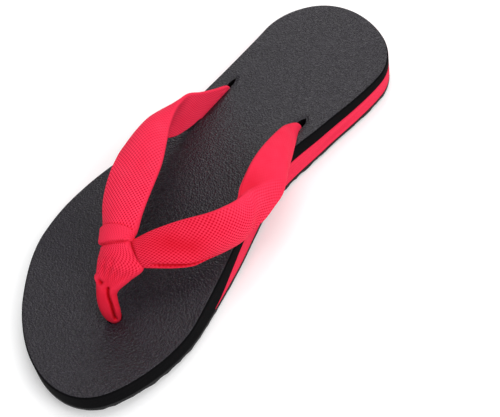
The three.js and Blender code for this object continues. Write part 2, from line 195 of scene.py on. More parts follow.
def add(tree, kind, sockets=None, **settings):
    """Adds one node. A socket that is given another node's output is linked to it."""
    node = tree.nodes.new(kind)
    for name, value in settings.items():
        setattr(node, name, value)
    for key, value in (sockets or {}).items():
        if isinstance(value, bpy.types.NodeSocket):
            tree.links.new(value, node.inputs[key])
        else:
            node.inputs[key].default_value = value
    return node


def new_material(name):
    """An empty node material and its node tree."""
    material = bpy.data.materials.new(name)
    material.use_nodes = True
    material.node_tree.nodes.clear()
    return material, material.node_tree


# Colour sockets of the Mix node, which also has sockets for numbers and vectors
MIX_A = 6
MIX_B = 7
MIX_RESULT = 2
print("charcoal as linear light:", [round(v, 4) for v in colour("3b393d")[:3]])

# %% [markdown]
# The skin of the footbed is polyurethane leatherette: a soft film on cloth, embossed by a roller with
# a fine pebble grain and left satin. The eye gets small rounded pebbles with darker creases between
# them, and a broad soft sheen. The creases are sunk by the bump, and their darkness is also painted
# into the colour as painted shade. Cells of a Voronoi pattern make the pebbles, and a little noise bends
# them so that they don't look tiled. The grain of such a skin is about 0.8 mm, and it is drawn at that
# size.

# %% Leatherette, embossed
PEBBLE_MM = 0.8
PEBBLE_DEPTH_MM = 0.38
WANDER_MM = 2.4
WANDER_SHIFT_MM = 0.96
CLOUD_MM = 24.0


def leatherette_embossed():
    material, tree = new_material("leatherette_embossed")
    place = add(tree, "ShaderNodeTexCoord").outputs["Object"]
    wander = add(tree, "ShaderNodeTexNoise",
                 {"Vector": place, "Scale": 1 / (WANDER_MM * MM), "Detail": 2.0})
    shift = add(tree, "ShaderNodeVectorMath",
                {0: wander.outputs["Color"], "Scale": WANDER_SHIFT_MM * MM}, operation="SCALE")
    bent = add(tree, "ShaderNodeVectorMath", {0: place, 1: shift.outputs["Vector"]}, operation="ADD")
    pebble = add(tree, "ShaderNodeTexVoronoi",
                 {"Vector": bent.outputs["Vector"], "Scale": 1 / (PEBBLE_MM * MM)}, feature="SMOOTH_F1")
    crease = add(tree, "ShaderNodeMapRange",
                 {"Value": pebble.outputs["Distance"], "From Min": 0.15, "From Max": 0.75})
    cloud = add(tree, "ShaderNodeTexNoise",
                {"Vector": place, "Scale": 1 / (CLOUD_MM * MM), "Detail": 3.0})
    tint = add(tree, "ShaderNodeMix",
               {0: cloud.outputs["Fac"], MIX_A: colour("18131d"), MIX_B: colour("201a27")},
               data_type="RGBA")
    # Painted shade: the creases between the pebbles are mixed towards near black
    skin = add(tree, "ShaderNodeMix",
               {0: crease.outputs["Result"], MIX_A: tint.outputs[MIX_RESULT], MIX_B: colour("0f0b10")},
               data_type="RGBA")
    sheen = add(tree, "ShaderNodeMapRange",
                {"Value": crease.outputs["Result"], "To Min": 0.32, "To Max": 0.5})
    height = add(tree, "ShaderNodeMath", {0: 1.0, 1: crease.outputs["Result"]}, operation="SUBTRACT")
    relief = add(tree, "ShaderNodeBump",
                 {"Height": height.outputs["Value"], "Strength": 0.8, "Distance": PEBBLE_DEPTH_MM * MM})
    shader = add(tree, "ShaderNodeBsdfPrincipled",
                 {"Base Color": skin.outputs[MIX_RESULT], "Roughness": sheen.outputs["Result"],
                  "IOR": 1.46, "Specular IOR Level": 0.42, "Normal": relief.outputs["Normal"]})
    add(tree, "ShaderNodeOutputMaterial", {"Surface": shader.outputs["BSDF"]})
    return material


LEATHERETTE = leatherette_embossed()
print("material:", LEATHERETTE.name)

# %% [markdown]
# The two foam layers are EVA foam, cut from a sheet with a knife and ground smooth at the edge. A cut
# edge opens thousands of tiny cells, so it is matt and swallows light. One function makes both
# colours: fine noise stands for the cells, and faint lines along the edge for the grinding. The real
# cells are about 0.2 mm, and they are drawn at 0.7 mm so that they show.

# %% EVA foam, knife-cut and ground
FOAM_CELL_MM = 0.7
FOAM_CELL_DEPTH_MM = 0.05
GRIND_LINE_MM = 1.6
GRIND_STRETCH = 0.04


def foam_cut(name, light, dark, shine):
    material, tree = new_material(name)
    place = add(tree, "ShaderNodeTexCoord").outputs["Object"]
    cells = add(tree, "ShaderNodeTexNoise",
                {"Vector": place, "Scale": 1 / (FOAM_CELL_MM * MM), "Detail": 3.0})
    flat = add(tree, "ShaderNodeMapping",
               {"Vector": place, "Scale": (GRIND_STRETCH, GRIND_STRETCH, 1.0)})
    lines = add(tree, "ShaderNodeTexNoise",
                {"Vector": flat.outputs["Vector"], "Scale": 1 / (GRIND_LINE_MM * MM), "Detail": 2.0})
    blend = add(tree, "ShaderNodeMath",
                {0: cells.outputs["Fac"], 1: lines.outputs["Fac"]}, operation="MULTIPLY")
    amount = add(tree, "ShaderNodeMapRange",
                 {"Value": blend.outputs["Value"], "From Min": 0.12, "From Max": 0.4})
    tint = add(tree, "ShaderNodeMix",
               {0: amount.outputs["Result"], MIX_A: colour(dark), MIX_B: colour(light)},
               data_type="RGBA")
    relief = add(tree, "ShaderNodeBump",
                 {"Height": amount.outputs["Result"], "Strength": 0.6,
                  "Distance": FOAM_CELL_DEPTH_MM * MM})
    rough = add(tree, "ShaderNodeMapRange",
                {"Value": cells.outputs["Fac"], "To Min": 0.72, "To Max": 0.92})
    shader = add(tree, "ShaderNodeBsdfPrincipled",
                 {"Base Color": tint.outputs[MIX_RESULT], "Roughness": rough.outputs["Result"],
                  "IOR": 1.4, "Specular IOR Level": shine, "Normal": relief.outputs["Normal"]})
    add(tree, "ShaderNodeOutputMaterial", {"Surface": shader.outputs["BSDF"]})
    return material


BLACK_FOAM = foam_cut("eva_foam_black_cut", light="09080a", dark="050506", shine=0.06)
RED_FOAM = foam_cut("eva_foam_red_cut", light="e22e4e", dark="d42241", shine=0.15)
print("materials:", BLACK_FOAM.name, RED_FOAM.name)

# %% [markdown]
# The tread is black rubber, moulded hot in a steel die. The die leaves a satin skin with a faint, patchy
# grey bloom. Soft noise changes the colour and the roughness over about a centimetre, and a finer one
# gives the die's grit.

# %% Rubber, compression moulded
BLOOM_MM = 9.0
GRIT_MM = 0.5
GRIT_DEPTH_MM = 0.03


def rubber_moulded():
    material, tree = new_material("rubber_moulded")
    place = add(tree, "ShaderNodeTexCoord").outputs["Object"]
    bloom = add(tree, "ShaderNodeTexNoise",
                {"Vector": place, "Scale": 1 / (BLOOM_MM * MM), "Detail": 4.0})
    grit = add(tree, "ShaderNodeTexNoise",
               {"Vector": place, "Scale": 1 / (GRIT_MM * MM), "Detail": 2.0})
    tint = add(tree, "ShaderNodeMix",
               {0: bloom.outputs["Fac"], MIX_A: colour("09090b"), MIX_B: colour("111113")},
               data_type="RGBA")
    rough = add(tree, "ShaderNodeMapRange",
                {"Value": bloom.outputs["Fac"], "To Min": 0.42, "To Max": 0.62})
    relief = add(tree, "ShaderNodeBump",
                 {"Height": grit.outputs["Fac"], "Strength": 0.5, "Distance": GRIT_DEPTH_MM * MM})
    shader = add(tree, "ShaderNodeBsdfPrincipled",
                 {"Base Color": tint.outputs[MIX_RESULT], "Roughness": rough.outputs["Result"],
                  "IOR": 1.52, "Specular IOR Level": 0.16, "Normal": relief.outputs["Normal"]})
    add(tree, "ShaderNodeOutputMaterial", {"Surface": shader.outputs["BSDF"]})
    return material


RUBBER = rubber_moulded()
print("material:", RUBBER.name)

# %% [markdown]
# The straps are cotton canvas in a coarse plain weave: each thread goes over one and under the next.
# Where a thread comes up it catches the light, and the pits between lie in shade, so the cloth shows a
# lattice of slanted dots. The bump raises the threads, and the shade in the pits is also painted into
# the colour as a deep red. The mesh of each strap carries its own cloth coordinates in millimetres,
# along and across the threads, so two sine waves multiplied together give that lattice at the real
# thread spacing of 1 mm, and it follows every fold. The mesh also carries how much painted shade each
# point gets, and there the colour is mixed towards a deeper red. Cotton fibres stand up from the cloth,
# which adds a pale rim where the surface turns away, and that is the sheen.

# %% Cotton canvas, plain weave
THREAD_MM = 1.0
THREAD_HEIGHT_MM = 0.22
SLUB_MM = 7.0


def canvas_woven():
    material, tree = new_material("cotton_canvas_woven")
    cloth = add(tree, "ShaderNodeAttribute", attribute_name="cloth_mm").outputs["Vector"]
    sides = add(tree, "ShaderNodeSeparateXYZ", {"Vector": cloth})
    slub = add(tree, "ShaderNodeTexNoise", {"Vector": cloth, "Scale": 1 / SLUB_MM, "Detail": 3.0})
    waves = []
    for axis in ("X", "Y"):
        turn = add(tree, "ShaderNodeMath",
                   {0: sides.outputs[axis], 1: math.pi / THREAD_MM}, operation="MULTIPLY")
        waves.append(add(tree, "ShaderNodeMath", {0: turn.outputs["Value"]}, operation="SINE"))
    lattice = add(tree, "ShaderNodeMath",
                  {0: waves[0].outputs["Value"], 1: waves[1].outputs["Value"]}, operation="MULTIPLY")
    raised = add(tree, "ShaderNodeMath",
                 {0: lattice.outputs["Value"], 1: sides.outputs["Z"]}, operation="MULTIPLY")
    height = add(tree, "ShaderNodeMapRange",
                 {"Value": raised.outputs["Value"], "From Min": -1.0, "From Max": 1.0})
    uneven = add(tree, "ShaderNodeMix",
                 {0: slub.outputs["Fac"], MIX_A: colour("f43151"), MIX_B: colour("fb4161")},
                 data_type="RGBA")
    # Painted shade in the weave: its low points, the pits, are mixed towards a deep red
    shade = add(tree, "ShaderNodeMapRange",
                {"Value": height.outputs["Result"], "From Min": 0.12, "From Max": 0.7})
    thread = add(tree, "ShaderNodeMix",
                 {0: shade.outputs["Result"], MIX_A: colour("b4001f"), MIX_B: uneven.outputs[MIX_RESULT]},
                 data_type="RGBA")
    # Painted shade: where the mesh says the cloth lies in shade, in folds, on the knot and on the post,
    # the colour is mixed towards a deeper red
    fold = add(tree, "ShaderNodeAttribute", attribute_name="painted_shade_share").outputs["Fac"]
    thread_with_painted_shade = add(tree, "ShaderNodeMix",
              {0: fold, MIX_A: thread.outputs[MIX_RESULT], MIX_B: colour("b8000e")}, data_type="RGBA")
    relief = add(tree, "ShaderNodeBump",
                 {"Height": height.outputs["Result"], "Strength": 0.8,
                  "Distance": THREAD_HEIGHT_MM * MM})
    shader = add(tree, "ShaderNodeBsdfPrincipled",
                 {"Base Color": thread_with_painted_shade.outputs[MIX_RESULT], "Roughness": 0.9, "IOR": 1.46,
                  "Specular IOR Level": 0.06, "Sheen Weight": 0.06, "Sheen Roughness": 0.35,
                  "Sheen Tint": colour("ff9fb0"), "Normal": relief.outputs["Normal"]})
    add(tree, "ShaderNodeOutputMaterial", {"Surface": shader.outputs["BSDF"]})
    return material


CANVAS = canvas_woven()
print("material:", CANVAS.name)

# %% [markdown]
# Meshes are made from plain arrays of points and faces. One helper turns them into an object, and one
# says what the object stands for: it moves with the shoe and it hides the solid that it dresses. Two more
# change a piece that is there: one cuts it with another piece, and one lifts its points.

# %% Helpers for pieces
SHARP_ANGLE = math.radians(38)


def object_from(name, points, faces, *materials):
    """A smooth-shaded object from points in millimetres and faces."""
    mesh = bpy.data.meshes.new(name)
    mesh.from_pydata((np.asarray(points) * MM).tolist(), [], [list(map(int, f)) for f in faces])
    for material in materials:
        mesh.materials.append(material)
    piece = bpy.data.objects.new(name, mesh)
    scene.collection.objects.link(piece)
    return piece


def seat(piece, node):
    """The finished piece rides on the shoe and stands for a solid."""
    mesh = piece.data
    mesh.polygons.foreach_set("use_smooth", np.ones(len(mesh.polygons), bool))
    mesh.set_sharp_from_angle(angle=SHARP_ANGLE)
    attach(piece, "root")
    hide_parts(node)
    mesh.calc_loop_triangles()
    print(f"{piece.name}: {len(mesh.loop_triangles)} triangles, for {node}")


def carve(piece, cutter, operation="DIFFERENCE"):
    """Cuts, joins or trims a piece with another one, which is used up."""
    boolean = piece.modifiers.new("carve", "BOOLEAN")
    boolean.operation = operation
    boolean.solver = "EXACT"
    boolean.object = cutter
    bpy.context.view_layer.update()
    result = piece.evaluated_get(bpy.context.evaluated_depsgraph_get())
    old = piece.data
    made = bpy.data.meshes.new_from_object(result)
    piece.modifiers.clear()
    piece.data = made
    made.name = piece.name
    bpy.data.meshes.remove(old)
    bpy.data.objects.remove(cutter)


def lift_points(piece, rise):
    """Moves each point of a piece up by a height that depends on where it is, in millimetres."""
    points = np.empty(3 * len(piece.data.vertices))
    piece.data.vertices.foreach_get("co", points)
    points = points.reshape(-1, 3)
    points[:, 2] += rise(*points.T / MM) * MM
    piece.data.vertices.foreach_set("co", points.reshape(-1))


print(f"edges that bend more than {math.degrees(SHARP_ANGLE):.0f} degrees stay crisp")

# %% [markdown]
# Every layer of the sole is a slab of the same outline. A ring of points runs round it, and each row
# of a slab is that ring moved inwards a little and set to a height. The rings make the side wall, and
# rungs from side to side close the top and the bottom. The points crowd together at heel and toe,
# where the outline bends most.

# %% A slab of the sole's outline
RING_POINTS = 720
HALF_RING = RING_POINTS // 2
turns = 2 * np.pi * np.arange(RING_POINTS) / RING_POINTS
ring_share = (1 - np.cos(turns)) / 2
ring_side = np.where(np.arange(RING_POINTS) <= HALF_RING, 1, -1)
ring = np.column_stack([
    (ring_share - 0.5) * LENGTH,
    along(OUTLINE, "middle", ring_share) + ring_side * half_width(ring_share),
])
ring_run = np.roll(ring, -1, axis=0) - np.roll(ring, 1, axis=0)
ring_run /= np.linalg.norm(ring_run, axis=1)[:, None]
ring_inwards = np.column_stack([ring_run[:, 1], -ring_run[:, 0]])


def slab(rows, rungs):
    """Points and faces of a slab. Each row is how far inside the outline it lies, and its height."""
    points = []
    faces = []

    def put(places, height):
        first = sum(len(p) for p in points)
        points.append(np.column_stack([places, height(*places.T)]))
        return first + np.arange(len(places))

    rings = [put(ring + ring_inwards * inset, height) for inset, height in rows]
    for upper, lower in zip(rings, rings[1:]):
        faces += list(zip(upper, np.roll(upper, -1), np.roll(lower, -1), lower))
    for loop, (inset, height), upwards in ((rings[0], rows[0], True), (rings[-1], rows[-1], False)):
        edge = ring + ring_inwards * inset
        left = edge[1:HALF_RING]
        right = edge[:HALF_RING:-1]
        columns = [loop[1:HALF_RING]]
        for share in np.arange(1, rungs) / rungs:
            columns.append(put(left + (right - left) * share, height))
        columns.append(loop[:HALF_RING:-1])
        for a, b in zip(columns, columns[1:]):
            strip = [(loop[0], b[0], a[0]), (loop[HALF_RING], a[-1], b[-1])]
            strip += list(zip(a[:-1], b[:-1], b[1:], a[1:]))
            faces += strip if upwards else [face[::-1] for face in strip]
    return np.vstack(points), faces


print(f"outline: {np.linalg.norm(np.roll(ring, -1, axis=0) - ring, axis=1).sum():.0f} mm round")

# %% [markdown]
# The rubber tread is rows of equal triangles, 15 mm on a side. Each is a low pyramid with three
# facets and a small flat tip, and thin grooves run between them in three directions. One cell is a
# stack of ever smaller triangles, from the groove's floor up to the tip, and the cells are copied over
# the whole sole, welded, closed with a lid, and trimmed to the outline.

# %% Tread cells
LUG_EDGE = 15.0
LUG_RIM = 0.5
LUG_ROOT = 0.4
ROW_HEIGHT = LUG_EDGE * math.sqrt(3) / 2
CELL_STEPS = np.array([
    (0.00, 1.30),
    (0.30, 1.30),
    (0.62, 0.86),
    (0.95, 0.72),
    (2.30, 0.34),
    (3.30, 0.07),
    (3.70, 0.00),
], dtype=[("inside", float), ("depth", float)])
LID_HEIGHT = LUG_HEIGHT + LUG_ROOT
WELD_REACH = 0.01


def tread_cells():
    """Points and faces of all cells, seen from below, with the tips at z = 0."""
    points = []
    faces = []
    # The sole is less than half as wide as it is long, and the block reaches past its outline
    rows = math.ceil(LENGTH / 4 / ROW_HEIGHT)
    columns = math.ceil(LENGTH / LUG_EDGE) + 2
    for row in range(-rows, rows):
        for column in range(-columns, columns):
            flip = 1 if (row + column) % 2 == 0 else -1
            x = column * LUG_EDGE / 2
            y = (row + 0.5) * ROW_HEIGHT - flip * ROW_HEIGHT / 6
            first = len(points)
            for inside, depth in CELL_STEPS:
                reach = LUG_EDGE / math.sqrt(3) - 2 * inside
                for corner in range(3):
                    angle = flip * math.pi / 2 + corner * 2 * math.pi / 3
                    points.append((x + reach * math.cos(angle), y + reach * math.sin(angle), depth))
            for step in range(len(CELL_STEPS) - 1):
                for corner in range(3):
                    a = first + 3 * step + corner
                    b = first + 3 * step + (corner + 1) % 3
                    faces.append((a, a + 3, b + 3, b))
            tip = first + 3 * (len(CELL_STEPS) - 1)
            faces.append((tip, tip + 2, tip + 1))
    return points, faces


def tread_block():
    """The cells as one closed block."""
    block = object_from("tread_block", *tread_cells())
    mesh = bmesh.new()
    mesh.from_mesh(block.data)
    bmesh.ops.remove_doubles(mesh, verts=mesh.verts, dist=WELD_REACH * MM)
    rim = [edge for edge in mesh.edges if edge.is_boundary]
    walls = bmesh.ops.extrude_edge_only(mesh, edges=rim)["geom"]
    lid = [part for part in walls if isinstance(part, bmesh.types.BMVert)]
    for vertex in lid:
        vertex.co.z = LID_HEIGHT * MM
    top = [part for part in walls if isinstance(part, bmesh.types.BMEdge) and part.is_boundary]
    bmesh.ops.edgeloop_fill(mesh, edges=top)
    bmesh.ops.recalc_face_normals(mesh, faces=mesh.faces)
    mesh.to_mesh(block.data)
    mesh.free()
    return block


print(f"tread: cells of {LUG_EDGE:g} mm, grooves {CELL_STEPS['depth'][0]:g} mm deep")

# %% [markdown]
# The block of cells is trimmed by the outline, joined to a thin sheet that fills the outline, and then
# the whole outsole is bent up at the toe, as the real one is when it is glued to the wedge.

# %% Outsole
SHEET_EDGE = 0.3
SHEET_RUNGS = 12
TRIM_RUNGS = 4


def level(height):
    return lambda x, y: np.full(np.shape(x), height)


def outsole():
    sheet_top = LUG_HEIGHT + OUTSOLE_SLAB
    trim_rows = [(LUG_RIM, level(sheet_top)), (LUG_RIM, level(-LUG_HEIGHT))]
    trim = object_from("tread_trim", *slab(trim_rows, TRIM_RUNGS))
    block = tread_block()
    carve(block, trim, "INTERSECT")
    piece = object_from("outsole_tread", *slab([
        (SHEET_EDGE, level(sheet_top)),
        (0, level(sheet_top - SHEET_EDGE)),
        (0, level(LUG_HEIGHT + SHEET_EDGE)),
        (SHEET_EDGE, level(LUG_HEIGHT)),
    ], SHEET_RUNGS), RUBBER)
    carve(piece, block, "UNION")
    lift_points(piece, lambda x, y, z: ground(x))
    seat(piece, "outsole")


outsole()

# %% [markdown]
# The wedge of red foam lies on the outsole, thick under the heel and the arch, and runs out to nothing
# under the ball of the foot. Only its wall shows, so the wall gets the care: its edges are eased a
# little, which draws the thin dark seams above and below it. The glued stack is ground as one, and
# that smears the black foam a little over the upper joint, so the wedge's wall ends a bit lower.

# %% Midsole
SEAM = 0.05
BED_LAP = 0.35
WEDGE_EDGE = 0.25
WEDGE_THINNEST = 0.15
WEDGE_TIP_X = 53.0
WEDGE_RUNGS = 12
TRIM_LOW = -10.0
TRIM_HIGH = 90.0


def midsole():
    def bottom(x, y):
        return outsole_top(x, y) + SEAM

    def top(x, y):
        return np.maximum(wedge_top(x, y) - BED_LAP - SEAM, bottom(x, y) + WEDGE_THINNEST)

    def eased(x, y):
        """How much of the wall is eased: at most a third of it at each edge."""
        return np.minimum(WEDGE_EDGE, (top(x, y) - bottom(x, y)) / 3)

    piece = object_from("midsole_wedge", *slab([
        (WEDGE_EDGE, top),
        (0, lambda x, y: top(x, y) - eased(x, y)),
        (0, lambda x, y: bottom(x, y) + eased(x, y)),
        (WEDGE_EDGE, bottom),
    ], WEDGE_RUNGS), RED_FOAM)
    corners = [(x, y, z) for x in (WEDGE_TIP_X, LENGTH) for y in (-LENGTH, LENGTH)
               for z in (TRIM_LOW, TRIM_HIGH)]
    sides = [(0, 1, 3, 2), (4, 6, 7, 5), (0, 4, 5, 1), (2, 3, 7, 6), (0, 2, 6, 4), (1, 5, 7, 3)]
    carve(piece, object_from("wedge_trim", corners, sides))
    seat(piece, "midsole")


midsole()

# %% [markdown]
# The footbed is one thick sheet of foam with its skin on top. Two slits take the straps and a hole
# takes the toe post. Each slit runs out to a point behind its strap, where it shows as a small dark
# triangle. The skin is drawn down a little where it was cut and where the post pulls on it, so the
# surface sinks softly towards them.

# %% Slits and hole in the footbed
INNER_SLIT = {"rear": -52.0, "front": -19.5, "y": 27.0, "half": 2.0}
OUTER_SLIT = {"rear": -58.6, "front": -27.0, "y": -19.7, "half": 1.2}
SLIT_TAPER = 4.5
POST_HOLE = {"x": 83.3, "y": 12.1, "radius": 3.7}
LIP_WIDTH = 2.2
LIP_DROP = 0.7
DIMPLE_WIDTH = 9.0
DIMPLE_DROP = 0.9
SINK_FADE = 3.0
SLIT_POINTS = 40
HOLE_POINTS = 48
CUT_LOW = 2.0
CUT_HIGH = 60.0


def slit_half(slit, x):
    """Half the width of a slit, which closes to a point at its rear end and is round in front."""
    rear = np.clip((x - slit["rear"]) / SLIT_TAPER, 0, 1)
    front = np.clip((slit["front"] - x) / slit["half"], 0, 1)
    return slit["half"] * np.sin(rear * np.pi / 2) * np.sqrt(1 - (1 - front) ** 2)


def slit_distance(slit, x, y):
    """About how far a place is from the edge of a slit."""
    inside = np.clip(x, slit["rear"], slit["front"])
    return np.hypot(np.maximum(np.abs(y - slit["y"]) - slit_half(slit, inside), 0), x - inside)


def hole_distance(x, y):
    return np.maximum(np.hypot(x - POST_HOLE["x"], y - POST_HOLE["y"]) - POST_HOLE["radius"], 0)


def sunk_top(x, y):
    """The footbed's top with its soft lips."""
    drop = DIMPLE_DROP * np.exp(-SINK_FADE * (hole_distance(x, y) / DIMPLE_WIDTH) ** 2)
    for slit in (INNER_SLIT, OUTER_SLIT):
        drop = drop + LIP_DROP * np.exp(-SINK_FADE * (slit_distance(slit, x, y) / LIP_WIDTH) ** 2)
    return bed_top(x, y) - drop


def slit_cutter(outline):
    """A block that cuts a flat outline through the footbed and leaves bare foam."""
    count = len(outline)
    points = [(x, y, z) for z in (CUT_LOW, CUT_HIGH) for x, y in outline]
    faces = [tuple(range(count))[::-1], tuple(range(count, 2 * count))]
    faces += [(i, (i + 1) % count, count + (i + 1) % count, count + i) for i in range(count)]
    block = object_from("slit_cutter", points, faces, LEATHERETTE, BLACK_FOAM)
    block.data.polygons.foreach_set("material_index", np.ones(len(faces), np.int32))
    return block


def slit_outline(slit):
    share = (1 - np.cos(np.linspace(0, np.pi, SLIT_POINTS))) / 2
    x = slit["rear"] + (slit["front"] - slit["rear"]) * share
    half = slit_half(slit, x)
    left = np.column_stack([x, slit["y"] - half])
    right = np.column_stack([x, slit["y"] + half])[-2:0:-1]
    return np.vstack([left, right])


hole_turn = np.linspace(0, 2 * np.pi, HOLE_POINTS, endpoint=False)
hole_outline = np.column_stack([np.cos(hole_turn), np.sin(hole_turn)]) * POST_HOLE["radius"]
hole_outline += (POST_HOLE["x"], POST_HOLE["y"])
print("slits:", [s["front"] - s["rear"] for s in (INNER_SLIT, OUTER_SLIT)], "mm long")

# %% [markdown]
# The footbed's wall is rounded into its top, and the skin ends on that rounding, because the skin was
# ground off together with the foam. So the slab gets two finishes, chosen by how far a face lies below
# the top. The bottom of the wall meets the wedge, and ahead of the wedge it meets the outsole. Round the
# slits and the hole the mesh is split finer before it is sunk and cut.

# %% Footbed
BED_EDGE_RADIUS = 1.0
BED_EDGE_ROWS = 5
BED_RUNGS = 64
FINE_REACH = 5.0
FINE_CUTS = 2
WALL_SLOPE = 0.55
SKIN_DROP = 0.1


def footbed():
    def lowered(drop):
        return lambda x, y: bed_top(x, y) - drop

    def bottom(x, y):
        return np.maximum(wedge_top(x, y) - BED_LAP, outsole_top(x, y)) + SEAM

    def sunk(x, y, z):
        on_top = z > bed_top(x, y) - BED_EDGE_RADIUS / 2
        return np.where(on_top, sunk_top(x, y) - bed_top(x, y), 0)

    rows = []
    for turn in np.linspace(0, np.pi / 2, BED_EDGE_ROWS):
        inset = BED_EDGE_RADIUS * (1 - math.sin(turn))
        rows.append((inset, lowered(BED_EDGE_RADIUS * (1 - math.cos(turn)))))
    rows.append((0, lambda x, y: bottom(x, y) + WEDGE_EDGE))
    rows.append((WEDGE_EDGE, bottom))
    piece = object_from("footbed_skin", *slab(rows, BED_RUNGS), LEATHERETTE, BLACK_FOAM)
    mesh = bmesh.new()
    mesh.from_mesh(piece.data)
    mesh.normal_update()
    x, y, z = np.array([face.calc_center_median() for face in mesh.faces]).T / MM
    reach = np.minimum(slit_distance(INNER_SLIT, x, y), slit_distance(OUTER_SLIT, x, y))
    reach = np.minimum(reach, hole_distance(x, y))
    edges = set()
    for face, drop, gap in zip(mesh.faces, bed_top(x, y) - z, reach):
        face.material_index = 0 if drop < SKIN_DROP else 1
        if gap < FINE_REACH and face.normal.z > WALL_SLOPE:
            edges.update(face.edges)
    bmesh.ops.subdivide_edges(mesh, edges=list(edges), cuts=FINE_CUTS, use_grid_fill=True)
    mesh.to_mesh(piece.data)
    mesh.free()
    lift_points(piece, sunk)
    for outline in (slit_outline(INNER_SLIT), slit_outline(OUTER_SLIT), hole_outline):
        carve(piece, slit_cutter(outline))
    seat(piece, "footbed")


footbed()

# %% [markdown]
# The straps are canvas folded into flat bands about 26 mm wide. Each row of the next tables is one
# section across a band: where its front edge and its rear edge are, how wide the canvas is when it is
# laid flat, and how thick the folded layers are. Where the two edges are closer together than the
# canvas is wide, the outer layer of the canvas bulges and the inner layer stays flat behind it.

# %% Rows of the two straps, in millimetres
ROW = [("front", float, 3), ("rear", float, 3), ("width", float), ("thick", float)]

INNER_STRAP = np.array([
    ((-21.5, 27.0, 15.6), (-47.0, 27.0, 13.6), 25.5, 2.8),
    ((-21.5, 27.4, 21.6), (-46.6, 27.0, 19.6), 25.5, 2.8),
    ((-20.2, 30.4, 24.2), (-44.8, 26.6, 22.4), 26.3, 2.8),
    ((-16.6, 35.7, 25.2), (-40.2, 25.7, 25.8), 27.2, 2.8),
    ((-10.5, 42.7, 26.0), (-33.6, 26.3, 30.5), 29.5, 2.8),
    ((-3.0, 46.8, 26.2), (-21.3, 28.3, 36.0), 29.5, 2.8),
    ((5.0, 47.3, 25.6), (-10.1, 30.3, 39.5), 27.7, 2.8),
    ((12.5, 46.7, 24.2), (0.4, 32.9, 41.5), 26.6, 2.8),
    ((19.5, 43.9, 22.6), (10.3, 36.0, 42.0), 25.2, 2.8),
    ((25.9, 42.9, 21.2), (17.8, 39.2, 41.5), 25.0, 2.8),
    ((34.5, 40.4, 22.8), (25.4, 37.0, 43.0), 25.7, 2.8),
    ((43.5, 38.2, 26.3), (32.2, 33.3, 44.0), 24.8, 2.8),
    ((51.4, 36.9, 29.9), (40.1, 26.6, 44.5), 23.7, 2.8),
    ((58.0, 32.6, 33.4), (46.2, 21.5, 44.3), 22.0, 3.0),
    ((64.0, 25.2, 35.6), (52.4, 16.3, 43.2), 19.0, 3.6),
    ((67.0, 18.6, 35.4), (58.4, 11.0, 40.6), 14.5, 4.2),
    ((67.4, 11.6, 36.2), (62.0, 6.4, 39.2), 8.4, 3.0),
], dtype=ROW)

OUTER_STRAP = np.array([
    ((-26.0, -19.8, 13.4), (-52.0, -19.8, 13.2), 26.0, 2.2),
    ((-25.8, -19.6, 19.2), (-51.2, -19.6, 19.2), 26.0, 2.2),
    ((-19.8, -19.6, 20.4), (-42.7, -20.5, 24.5), 24.0, 2.2),
    ((-14.0, -20.0, 21.7), (-34.2, -21.5, 30.0), 22.6, 2.2),
    ((-8.4, -20.6, 23.6), (-25.4, -22.4, 36.5), 22.6, 2.2),
    ((-1.0, -24.2, 27.0), (-13.4, -19.2, 41.3), 24.4, 2.4),
    ((7.6, -26.8, 32.6), (-2.4, -14.2, 43.2), 25.0, 2.8),
    ((17.0, -27.6, 37.8), (7.8, -8.1, 44.3), 26.0, 2.8),
    ((28.7, -24.0, 40.4), (21.0, -1.0, 45.1), 25.1, 2.8),
    ((40.4, -19.0, 40.8), (36.1, 4.3, 45.1), 24.6, 2.8),
    ((50.2, -13.4, 40.2), (46.8, 7.9, 44.5), 22.9, 3.4),
    ((59.0, -6.4, 38.8), (55.4, 10.8, 42.6), 20.0, 5.6),
    ((66.0, -1.6, 37.6), (61.2, 11.6, 41.4), 18.0, 7.0),
    ((72.4, 0.6, 35.6), (65.6, 21.0, 35.6), 23.5, 6.6),
    ((77.5, 3.1, 33.4), (72.6, 17.8, 31.4), 18.0, 7.2),
    ((82.0, 5.5, 29.6), (78.2, 14.4, 27.6), 11.0, 6.6),
    ((85.0, 6.9, 24.4), (80.2, 14.8, 23.4), 9.8, 6.0),
    ((86.5, 8.4, 19.2), (81.0, 15.4, 18.8), 9.4, 5.6),
    ((86.3, 9.6, 14.4), (81.4, 15.2, 14.2), 7.6, 5.0),
    ((85.0, 10.4, 10.4), (81.4, 14.2, 10.4), 5.6, 4.8),
    ((85.0, 10.4, 5.8), (81.4, 14.2, 5.8), 5.6, 4.8),
], dtype=ROW)
print("rows:", len(INNER_STRAP), "in the inner strap and", len(OUTER_STRAP), "in the outer one")

# %% [markdown]
# A band is a loft: a smooth curve runs through the front edges of the rows and another through the
# rear edges, and a closed section is set up between them at many places. Blender could bend a flat
# grid with a curve modifier, but then the section couldn't change along the way. Each point keeps
# which face it is on and how far across it lies, so that folds and weave can be added in the cloth's
# own sizes.

# %% Loft of a band
INNER = 1
OUTER = -1
TIGHT_SPAN = 0.3
FACE_STEPS = 52
EDGE_STEPS = 14
CLOTH_WIDTH = 26.0


def rows_at(rows, place, slope=False):
    """A Catmull-Rom curve through rows of numbers, or its direction, at places counted in rows."""
    ends = np.concatenate([[2 * rows[0] - rows[1]], rows, [2 * rows[-1] - rows[-2]]])
    i = np.clip(np.floor(place).astype(int), 0, len(rows) - 2)
    t = (place - i).reshape(-1, *[1] * (rows.ndim - 1))
    a, b, c, d = (ends[i + k] for k in range(4))
    once = c - a
    squared = 2 * a - 5 * b + 4 * c - d
    cubed = 3 * b - a - 3 * c + d
    if slope:
        return 0.5 * (once + 2 * squared * t + 3 * cubed * t ** 2)
    return 0.5 * (2 * b + once * t + squared * t ** 2 + cubed * t ** 3)


def unit(vectors):
    return vectors / np.linalg.norm(vectors, axis=-1, keepdims=True)


